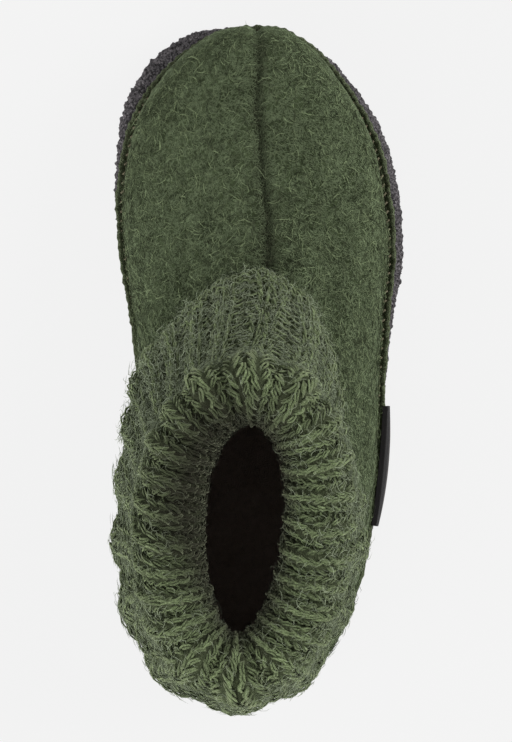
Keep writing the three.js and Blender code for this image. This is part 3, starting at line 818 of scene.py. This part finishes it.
# %% Space its points evenly
raw_path = np.concatenate([inner_path, fold_path, flap_path], axis=1)
step_length = np.linalg.norm(np.diff(raw_path, axis=1), axis=2)
reach = np.concatenate([np.zeros((FINE_AROUND, 1)), np.cumsum(step_length, axis=1)], axis=1)
evenly = np.linspace(0, 0.9999, FINE_ALONG)[None] * reach[:, -1:]
before = (reach[:, None, :] <= evenly[:, :, None]).sum(axis=2) - 1
row = np.arange(FINE_AROUND)[:, None]
share = (evenly - reach[row, before]) / step_length[row, before]
knit_path = raw_path[row, before] * (1 - share[..., None])
knit_path = knit_path + raw_path[row, before + 1] * share[..., None]
going_round = np.roll(knit_path, -1, axis=0) - np.roll(knit_path, 1, axis=0)
going_on = np.gradient(knit_path, axis=1)
knit_face = unit(np.cross(going_round, going_on))
rib_width = np.linalg.norm(going_round, axis=2) * FINE_AROUND / 2 / RIB_COUNT
fold_course = reach[:, 29].mean() / reach[:, -1].mean() * COURSES
print("knit is", (reach[:, -1].min()).round(1), "to", (reach[:, -1].max()).round(1),
      "mm long and starts to fold at course", round(fold_course, 1))
print("its ribs are", rib_width.min().round(1), "to", rib_width.max().round(1), "mm wide")


# %% Read the path anywhere
def knit_at(wale_around, course):
    """The knit's middle and its facing at a place round and a course along it, blended
    from the four nearest points of the fine path."""
    u = (wale_around % 1) * FINE_AROUND
    v = np.clip(course / COURSES, 0, 1) * (FINE_ALONG - 1.001)
    i, j = np.floor(u).astype(int), np.floor(v).astype(int)
    s, t = (u - i)[..., None], (v - j)[..., None]
    i, beside = i % FINE_AROUND, (i + 1) % FINE_AROUND

    def mix(table):
        """A table's value there, blended from its four neighbours."""
        first = table[i, j] * (1 - t) + table[i, j + 1] * t
        second = table[beside, j] * (1 - t) + table[beside, j + 1] * t
        return first * (1 - s) + second * s

    return mix(knit_path), unit(mix(knit_face))


def opened(wale_around, course):
    """How far the ribs are pulled open: not on the fold, and more towards the turned-down
    edge, most of all in front, where the cuff lies spread over the instep."""
    forward = 0.5 + 0.5 * np.cos(wale_around * 2 * np.pi)
    return np.clip((course - 19) / 9, 0, 1) * (0.2 + 0.8 * forward**2)


def rib_height(wale_around, course):
    """How far the knit's face stands out: broad crests and narrow valleys, flatter where
    the ribs are pulled open and inside the opening, with some ribs fuller than others."""
    phase = np.abs(np.sin(wale_around * RIB_COUNT * np.pi))
    deep = RIB_DEPTH * (1.3 - 0.9 * opened(wale_around, course))
    deep = deep * np.clip((course - fold_course) / 5, 0.1, 1)
    fuller = 1 + 0.16 * np.sin(np.floor(wale_around * RIB_COUNT + 0.5) * 2.4)
    return deep * (1 - 2 * phase**3) * fuller


def inside_shade_at(wale_around, course):
    """How much painted shade a place gets for lying inside the opening: none on the fold and
    all of it below, over a longer slope at the inner front, where the cuff leans in."""
    leaning = np.clip(np.cos((wale_around - 0.84) * 2 * np.pi), 0, 1)
    return np.clip((fold_course + 5.6 + 2.4 * leaning - course) / (3.8 + leaning), 0, 1)


def rib_drift(wale_around, course):
    """How far the ribs stray round the slipper as they go along, by one slow wave."""
    wave = np.sin(0.16 * course + 4 * np.pi * wale_around + 1)
    return 0.15 / RIB_COUNT * wave * np.clip((COURSES - course) / 8, 0, 1)


def stretch_at(wale_around, course):
    """How much thicker the yarn lies where a rib is pulled wide, as it is round the tight
    ends of the fold: the root of the rib's width over 7.5 mm, from 1 to 1.35."""
    i = (wale_around % 1 * FINE_AROUND).astype(int)
    j = (np.clip(course / COURSES, 0, 1) * (FINE_ALONG - 1)).astype(int)
    return np.clip(np.sqrt(rib_width[i, j] / 7.5), 1, 1.35)


def knit_surface(wale_around, course, height):
    """A point of the knit's face, at a height over its middle."""
    middle, face = knit_at(wale_around + rib_drift(wale_around, course), course)
    rise = height + rib_height(wale_around, course)
    return middle + face * rise[..., None], face


# %% Draw the knit's body
BODY_AROUND = 374
BODY_ALONG = 60
body_around = np.linspace(0, 1, BODY_AROUND, endpoint=False)[None]
body_course = np.linspace(0, COURSES, BODY_ALONG)[:, None]
front, front_face = knit_surface(body_around, body_course, 0.45 + 0 * body_around)
back, _ = knit_surface(body_around, body_course[::-1], -half_knit + 0 * body_around)
front = front + (0.2 * lumps(front, 1.6, 11))[..., None] * front_face
edge_middle = (front[-1:] + back[:1]) / 2
edge_middle = edge_middle + unit(front[-1:] - front[-2:-1]) * 0.8
body_points = np.concatenate([front, edge_middle, back]).reshape(-1, 3)
body_faces = grid_faces(2 * BODY_ALONG + 1, BODY_AROUND, True, True)
cuff = make_piece("knit_body", body_points, outward_faces(body_points, body_faces),
                  replaces=["cuff"], slot="rib_knit")

# %% Work the yarn's loops
YARN_RINGS = 5
FLAP_COURSE = 25
rng = np.random.default_rng(20)


def stitch_places(courses):
    """A rib and a course for every stitch of a wale."""
    rib, course = np.meshgrid(np.arange(RIB_COUNT), courses, indexing="ij")
    return rib.ravel()[:, None].astype(float), course.ravel()[:, None].astype(float)


def wandering(rib, course):
    """How far a wale strays to the side and a course runs ahead, by slow waves."""
    aside = 0.05 * np.sin(course * 0.55 + rib * 2.1) + 0.025 * np.sin(course * 1.3 + rib)
    return aside, 0.45 * np.sin(rib * 1.7 + course * 0.2)


def yarn_lines(wale_around, along, height, stretch):
    """The lines of lengths of yarn over the knit's face, the facing at their middles, the
    painted shade they get for lying inside the opening, and how thick they are."""
    line, _ = knit_surface(wale_around, along, height)
    middle = YARN_RINGS // 2
    _, side = knit_at(wale_around[:, middle], along[:, middle])
    return line, side, inside_shade_at(wale_around, along), stretch


def legs(wale_side, courses, lean):
    """The showing legs of knit loops: for each rib, wale and course, a line that starts
    at the loop's foot near the wale's middle and leans out to one side as it goes on to
    the next course, high in its middle and diving under at both ends."""
    rib, course = stitch_places(courses)
    share = np.linspace(0, 1, YARN_RINGS)[None]
    jitter = rng.normal(0, 1, (len(rib), 4))
    spread_open = opened(rib / RIB_COUNT, course)
    aside, ahead = wandering(rib, course)
    stretch = stretch_at(rib / RIB_COUNT, course)
    wale = wale_side * (0.185 - 0.055 * spread_open) * stretch**0.5 + aside
    spread = (0.17 - 0.06 * spread_open) / stretch * (1 + 0.2 * jitter[:, :1])
    sideways = lean * (0.02 + spread * np.sin(2.4 * share)) + 0.02 * jitter[:, 1:2] * share
    along = course + ahead + 0.3 * (lean > 0) + (1.55 + 0.15 * jitter[:, 2:3]) * share
    height = 1.5 * np.sin(np.pi * (0.05 + 0.9 * share)) - 0.35 + 0.1 * jitter[:, 3:4]
    return yarn_lines((rib + wale + sideways) / RIB_COUNT, along, height, stretch)


def purls(valley_side, courses):
    """The bumps of purl loops: an arc across the wale, bowed back towards the collar."""
    rib, course = stitch_places(courses)
    share = np.linspace(-1, 1, YARN_RINGS)[None]
    jitter = rng.normal(0, 1, (len(rib), 3))
    spread_open = opened((rib + 0.5) / RIB_COUNT, course)
    _, ahead = wandering(rib, course)
    stretch = stretch_at((rib + 0.5) / RIB_COUNT, course)
    wale = 0.5 + valley_side * (0.07 + 0.07 * spread_open)
    half = 0.075 + 0.07 * spread_open
    phase = wale + half * share + jitter[:, :1] * 0.01
    along = course + ahead + 0.5 * share**2 + 0.1 * jitter[:, 1:2]
    height = 0.5 + 0.35 * np.cos(share * np.pi * 0.5) + 0.12 * jitter[:, 2:3]
    height = height - 0.5 * np.clip((22 - course) / 4, 0, 1) * (1 - 2.5 * (stretch - 1))
    return yarn_lines((rib + phase) / RIB_COUNT, along, height, stretch)


def edge_strands(course):
    """The cast-off edge: strands that follow one another round the turned-down edge."""
    place = np.arange(RIB_COUNT * 5)[:, None] / (RIB_COUNT * 5)
    share = np.linspace(0, 1, YARN_RINGS)[None]
    jitter = rng.normal(0, 1, (len(place), 2))
    wale_around = place + (1.35 * share - 0.2) / (RIB_COUNT * 5)
    along = course + 0.55 * np.sin(np.pi * share) + 0.15 * jitter[:, :1]
    height = 0.7 + 0.5 * np.sin(np.pi * share) + 0.15 * jitter[:, 1:2]
    return yarn_lines(wale_around, along, height, 0 * place + 1)


def yarn_piece(name, parts, thickness, plies):
    """One piece of many lengths of yarn. Its plies turn round the yarn's line, each a thin
    tube of its own with three corners. Each point keeps the tone of its ply, a painted shade
    on the corner underneath and on the ends, and the painted shade inside the opening."""
    line, side, painted_shade, stretch = (np.concatenate(part) for part in zip(*parts))
    count, rings = line.shape[:2]
    across, lift = (d[None] for d in ring_directions(line, side))
    ply = np.arange(plies)[:, None, None] / plies
    angle = (rng.uniform(0, 1, (1, count, 1)) + ply) * 2 * np.pi
    angle = (angle + 1.5 * np.linspace(-0.5, 0.5, rings))[..., None]
    gather = 0.35 + 0.65 * np.sin(np.pi * np.linspace(0, 1, rings))
    gather = (0.3 * thickness * stretch * gather)[..., None]
    ply_lines = line[None] + (across * np.cos(angle) + lift * np.sin(angle)) * gather
    ply_lines = ply_lines.reshape(-1, rings, 3)
    size = 0.19 * thickness * np.tile(stretch, (plies, 1))
    size = size * rng.normal(1, 0.12, (count * plies, 1))
    points, cells, caps = tubes(ply_lines, size, np.tile(side, (plies, 1)), 3)
    piece = make_piece(name, points, cells, caps, slot="rib_knit")
    tone = np.tile(rng.normal(0.5, 0.15, count), plies) + rng.normal(0, 0.15, count * plies)
    set_values(piece, "tone", np.repeat(np.clip(tone, 0, 1), rings * 3))
    # Painted shade on the corner of each ply that faces down, and on the ends where the yarn
    # dives under.
    underside_shade = np.tile([0.0, 0.0, 1.0], (count * plies, rings, 1))
    underside_shade[:, [0, -1]] = (0.55, 0.55, 1.0)
    set_values(piece, "painted_underside_shade", underside_shade)
    set_values(piece, "painted_shade", np.repeat(np.tile(painted_shade.ravel(), plies), 3))
    return piece


def wale_legs(first, last):
    """The legs of both wales of every rib, to both sides, from one course to another."""
    return [legs(wale, np.arange(first, last), lean) for wale in (-1, 1) for lean in (-1, 1)]


first_course = int(fold_course)
fold_yarn = yarn_piece("fold_loops", wale_legs(first_course, FLAP_COURSE), 1.45, 3)
flap_yarn = yarn_piece("flap_loops", wale_legs(FLAP_COURSE, COURSES - 1), 1.25, 3)
bumps = [purls(valley, np.arange(first_course, COURSES - 1)) for valley in (-1, 1)]
cast_off = [edge_strands(course) for course in (38.4, 39.2)]
purl_yarn = yarn_piece("purl_loops", bumps + cast_off, 1.4, 2)

# %% Finish the yarn
yarn, tree, colour, shader = cloth(
    "mohair_yarn", [(0.043, 0.059, 0.024), (0.104, 0.139, 0.063), (0.23, 0.285, 0.162)],
    500.0, 900.0, 0.3, sheen=0.3)
toned = ramp(tree, value_of(tree, "tone"), [(0.0, (0.6, 0.6, 0.57)), (1.0, (1.25, 1.25, 1.19))])
colour = blend(tree, 1.0, colour, toned, "MULTIPLY")
# Painted shade on the plies' undersides.
colour = blend(tree, maths(tree, "MULTIPLY", value_of(tree, "painted_underside_shade"), 0.75), colour,
               (0.016, 0.022, 0.010))
# Painted shade, near black, where the knit lies inside the opening.
colour = tinted(tree, "painted_shade", colour, (0.013, 0.012, 0.008))
dress([fold_yarn, flap_yarn, purl_yarn], yarn, tree, colour, shader)
# The knit's body is coloured much darker than its yarn: painted shade for the gaps between the
# loops.
shaded_backing, tree, colour, shader = cloth(
    "knit_backing_painted_shade", [(0.014, 0.018, 0.008), (0.040, 0.050, 0.023), (0.095, 0.115, 0.062)],
    400.0, 700.0, 0.8, sheen=0.25)
# Painted shade inside the opening.
colour = tinted(tree, "painted_shade", colour, (0.016, 0.014, 0.010))
dress([cuff], shaded_backing, tree, colour, shader)
# The body's points keep the painted shade of lying inside the opening.
painted_shade = inside_shade_at(body_around, body_course - 1)
set_values(cuff, "painted_shade", np.concatenate([painted_shade, 0 * painted_shade[:1], painted_shade[::-1]]))

# %% [markdown]
# ## Loose fibres
# Wool is never quite smooth: fine curly fibres lie over it and stand off its edges. They
# are far too fine for a surface, so they are drawn one by one, as thin closed threads.
# Most lie almost flat and run in all directions, and a few stand up.


# %% Draw a nap of fibres
def nap(name, root, out, length, width, lift, curl, seed, slot, painted_shade):
    """Fibres from their roots: each runs along the cloth in its own direction, lifted in
    an arc and curled to one side by a sine of its length. Sizes are in millimetres."""
    chance = np.random.default_rng(seed)
    count = len(root)
    direction = unit(np.cross(out, unit(chance.normal(size=(count, 3)))))
    sideways = np.cross(out, direction)
    size = length * np.minimum(chance.lognormal(0, 0.35, (count, 1)), 1.6)
    share = np.linspace(0, 1, 4)[None]
    bend = size * curl * np.sin(share * np.pi * chance.uniform(0.7, 1.6, (count, 1)))
    bend = bend * chance.choice([-1, 1], (count, 1))
    stand = chance.gamma(1.6, 0.6, (count, 1)) * lift
    rise = stand * np.sin(share * np.pi * chance.uniform(0.45, 1.0, (count, 1)))
    line = (root[:, None] + direction[:, None] * (size * share)[..., None]
            + sideways[:, None] * bend[..., None] + out[:, None] * rise[..., None])
    radius = width / 2 * chance.uniform(0.7, 1.3, (count, 1))
    points, cells, fans = pointed_threads(line, radius, out)
    piece = make_piece(name, points, cells, fans, slot=slot)
    set_values(piece, "tone", np.repeat(chance.uniform(0, 1, count), 8))
    # Each fibre keeps a painted shade: over the seam on the wool, inside the opening on the
    # knit.
    set_values(piece, "painted_shade", np.repeat(painted_shade, 8))
    return piece


def fibre_material(name, colour, tones):
    """A thin light fibre in three tones, which are shares of its colour."""
    made, tree, _, shader = cloth(name, [colour] * 3, 300.0, 900.0, 0.0, sheen=0.2)
    shades = [tuple(c * k for c in colour) for k in tones]
    shade = ramp(tree, value_of(tree, "tone"), list(zip((0.0, 0.5, 1.0), shades)))
    # Painted shade over the seam and inside the opening.
    shade = tinted(tree, "painted_shade", shade, (0.026, 0.024, 0.017))
    tree.links.new(shade, shader.inputs["Base Color"])
    return made


wool_fibre = fibre_material("loose_wool_fibre", (0.078, 0.097, 0.052), (0.1, 0.85, 3.3))
knit_fibre = fibre_material("loose_mohair_fibre", (0.215, 0.250, 0.170), (0.6, 1.0, 1.5))

# %% Brush up the wool and the knit
FIBRES = 16000
chance = np.random.default_rng(41)
root_around = chance.uniform(0, 1, FIBRES)
root_around = root_around - 0.07 * np.sin(2 * np.pi * root_around)
root_rise = chance.uniform(0.12, 0.66, FIBRES)
root, root_out, root_beside = wool_outside(root_around, root_rise)
forward = 0.5 + 0.5 * np.cos(2 * np.pi * root_around)
clear = (np.abs(root_beside) > 1.2) & (root_rise > 0.12 + 0.1 * forward**4)
# Fibres over the seam take its painted shade.
seam_fibre_shade = np.exp(-((root_beside / 3.0) ** 2)) * seam_shade_strength(root_rise)
wool_nap = nap("wool_nap", root[clear], root_out[clear], 3.4, 0.13, 0.3, 0.26, 42,
               "boiled_wool", seam_fibre_shade[clear])
wool_nap.data.materials.append(wool_fibre)

root_around = chance.uniform(0, 1, FIBRES)
on_flap = chance.uniform(0, 1, FIBRES) < 0.93
root_course = np.where(on_flap, 18 + 22 * chance.uniform(0, 1, FIBRES) ** 0.75,
                       chance.uniform(fold_course - 1, 18, FIBRES))
root, root_out = knit_surface(root_around, root_course, 1.35 + 0 * root_around)
knit_nap = nap("knit_nap", root, root_out, 2.6, 0.115, 0.24, 0.36, 43, "rib_knit",
               inside_shade_at(root_around, root_course))
knit_nap.data.materials.append(knit_fibre)

# %% [markdown]
# ## Stitches at the lip
# The wool's lip is held to the sole by an overcast seam in brown thread, which sinks into
# the groove between the lip and the wall. Each stitch is a short bowed length of thread.

# %% Sew the lip
STITCH_SLANT = 0.0032
THREAD_RADIUS = 0.26
place = (np.arange(STITCHES) / STITCHES)[:, None]
share = np.linspace(0, 1, 5)[None]
out_by = -LIP_WIDTH * (0.42 - 0.62 * share)
stitch_height = LIP_HEIGHT * (0.95 + 0.12 * np.sin(np.pi * share))
stitch = on_sole(place + STITCH_SLANT * share, out_by, stitch_height)
side = np.tile([0.0, 0.0, 1.0], (STITCHES, 1))
points, cells, caps = tubes(stitch, THREAD_RADIUS, side, 5)
thread = make_piece("lip_stitches", points, cells, caps, slot="sole_felt")
brown, tree, colour, shader = cloth(
    "brown_thread", [(0.060, 0.052, 0.034), (0.130, 0.115, 0.075), (0.25, 0.22, 0.150)],
    800.0, 3000.0, 0.3, sheen=0.1)
thread.data.materials.append(brown)

# %% [markdown]
# ## The woven tab
# The tab is a folded tape of black satin weave, caught in the seam, with a thread of
# copper brown along its hanging edge. It is a closed strip, bowed a little, and its weave
# is a fine bump from noise. Its face is left bare.


# %% Draw the tab
def around_behind_toe(length):
    """Where on the outer side the sole's edge lies a given length behind the toe."""
    places = np.linspace(0, 0.5, 4001)
    return np.interp(length, SOLE_LENGTH - edge_at(places)[:, 1], places)


TAB_COLUMNS = 80
TAB_ROWS = 25
tab_share = np.linspace(0, 1, TAB_COLUMNS)[None]
tab_start, tab_end = (around_behind_toe(TAB_BEHIND_TOE + more) for more in (0, TAB_LENGTH))
tab_around = tab_start + (tab_end - tab_start) * tab_share
bow = TAB_BOW * np.sin(tab_share * np.pi)
knots = np.array([0, 0.3, 0.55, 1.0])
lip_clear = LIP_HEIGHT + GAP
inset_knots = np.stack([
    seam_inset(tab_around) - LIP_WIDTH * TAB_TUCK,
    0 * bow,
    -GAP - bow * 0.5,
    -GAP - bow,
])
height_knots = np.array([lip_clear, lip_clear, 0.0, -TAB_DROP])
down = np.linspace(0, 1, TAB_ROWS)
tab_inset = np.stack([np.interp(down, knots, inset_knots[:, 0, c]) for c in range(TAB_COLUMNS)],
                     axis=1)
tab_height = np.interp(down, knots, height_knots)[:, None] + 0 * tab_inset


def tab_face(extra_out, extra_up):
    """One face of the tape: its inner face moved out and up by its thickness."""
    flat = inside_edge(tab_around + 0 * tab_inset, tab_inset - extra_out)
    return with_height(flat, sole_top(flat[..., 1]) + GAP + tab_height + extra_up)


turned = np.interp(down, knots, [0, 0.7, 1, 1])[:, None] * TAB_THICKNESS
lifted = np.interp(down, knots, [1, 0.8, 0.1, 0])[:, None] * TAB_THICKNESS
strip = np.concatenate([tab_face(0 * turned, 0 * lifted), tab_face(turned, lifted)[::-1]])
tab_points = strip.reshape(-1, 3)
tab_faces = grid_faces(2 * TAB_ROWS, TAB_COLUMNS, True, False)
section = np.arange(TAB_ROWS)
other = 2 * TAB_ROWS - 1 - section
ends = []
for column, flip in ((0, False), (TAB_COLUMNS - 1, True)):
    a, b = section[:-1] * TAB_COLUMNS + column, section[1:] * TAB_COLUMNS + column
    c, d = other[1:] * TAB_COLUMNS + column, other[:-1] * TAB_COLUMNS + column
    quads = np.stack([a, b, c, d], axis=1)
    ends.append(quads[:, ::-1] if flip else quads)
tab_faces = outward_faces(tab_points, np.concatenate([tab_faces, *ends]))
tab = make_piece("woven_tab", tab_points, tab_faces, replaces=["side_tab"],
                 slot="tab_weave")
selvedge = np.concatenate([down, down[::-1]])[:, None] + 0 * strip[..., 0]
set_values(tab, "down", selvedge)
set_values(tab, "along", np.broadcast_to(tab_share, selvedge.shape))

# %% Finish the tab
tape, tree, colour, shader = cloth(
    "satin_tape", [(0.004, 0.0035, 0.0035), (0.007, 0.006, 0.006), (0.012, 0.011, 0.011)],
    900.0, 4000.0, 0.2, roughness=0.55, sheen=0.05)
copper = ramp(tree, value_of(tree, "down"), [(0.9, (0, 0, 0)), (0.94, (1, 1, 1))])
colour = blend(tree, copper, colour, (0.075, 0.032, 0.018))
dress([tab], tape, tree, colour, shader)

# %% [markdown]
# ## The insole
# The insole is a flat piece of brown felt, deep in the slipper's own shade. The model's
# solid already has its shape, so it only gets its cloth.

# %% Finish the insole
lining_felt, tree, colour, shader = cloth(
    "insole_felt", [(0.210, 0.155, 0.130), (0.320, 0.240, 0.200), (0.42, 0.320, 0.270)],
    500.0, 1500.0, 0.6, sheen=0.05)
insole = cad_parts["insole"]
insole.data.materials.clear()
insole.data.materials.append(lining_felt)

# %% [markdown]
# ## Floor, light and camera
# The slipper stands on a plain pale floor in even light. A wide soft light from the outer
# side is the strongest, and one behind the heel and a low one from the inner side fill its
# shade. The camera looks almost straight down, as the picture's does, from so far that the
# lines barely converge.

# %% Lay the floor and set the lights
bpy.ops.mesh.primitive_plane_add(size=6)
floor = bpy.context.object
floor.name = "floor"
paper = bpy.data.materials.new("pale_floor")
paper.use_nodes = True
glow = paper.node_tree.nodes["Principled BSDF"]
glow.inputs["Base Color"].default_value = (0.04, 0.04, 0.04, 1)
glow.inputs["Roughness"].default_value = 1.0
glow.inputs["Specular IOR Level"].default_value = 0.0
glow.inputs["Emission Color"].default_value = (1, 1, 1, 1)
glow.inputs["Emission Strength"].default_value = 0.85
floor.data.materials.append(paper)

world = bpy.data.worlds.new("studio")
bpy.context.scene.world = world
world.use_nodes = True
world.node_tree.nodes["Background"].inputs["Color"].default_value = (1, 1, 1, 1)
world.node_tree.nodes["Background"].inputs["Strength"].default_value = 0.55


def soft_light(name, place, size, watts):
    """A wide square light, its place and size in metres, that faces the slipper."""
    light = bpy.data.lights.new(name, "AREA")
    light.size = size
    light.energy = watts
    lamp = bpy.data.objects.new(name, light)
    bpy.context.collection.objects.link(lamp)
    lamp.location = place
    toward = -np.array(place) / np.linalg.norm(place)
    lamp.rotation_euler = Vector(toward).to_track_quat("-Z", "Y").to_euler()


soft_light("key", (1.3, 0.35, 0.95), 0.9, 20)
soft_light("fill", (-0.5, -1.1, 0.9), 1.0, 10)
soft_light("low side", (-1.3, -0.7, 0.35), 0.8, 12)

# %% Set the camera
TARGET = np.array([-1.0, -1.7, 0.0]) * 0.001
DISTANCE = 1.1
TILT = math.radians(2.5)
camera_data = bpy.data.cameras.new("camera")
camera_data.sensor_width = 36
camera_data.lens = 197.5
camera_data.clip_start = 0.05
camera = bpy.data.objects.new("camera", camera_data)
bpy.context.collection.objects.link(camera)
camera.location = TARGET + DISTANCE * np.array([math.sin(TILT), 0, math.cos(TILT)])
camera.rotation_euler = (0, TILT, 0)
bpy.context.scene.camera = camera
bpy.context.scene.view_settings.view_transform = "Standard"

# %% [markdown]
# ## The last step
# The fine surfaces must fill the same space as the solids that they dress. Last, the
# scene is brought up to date.

# %% Finish
bpy.context.view_layer.update()
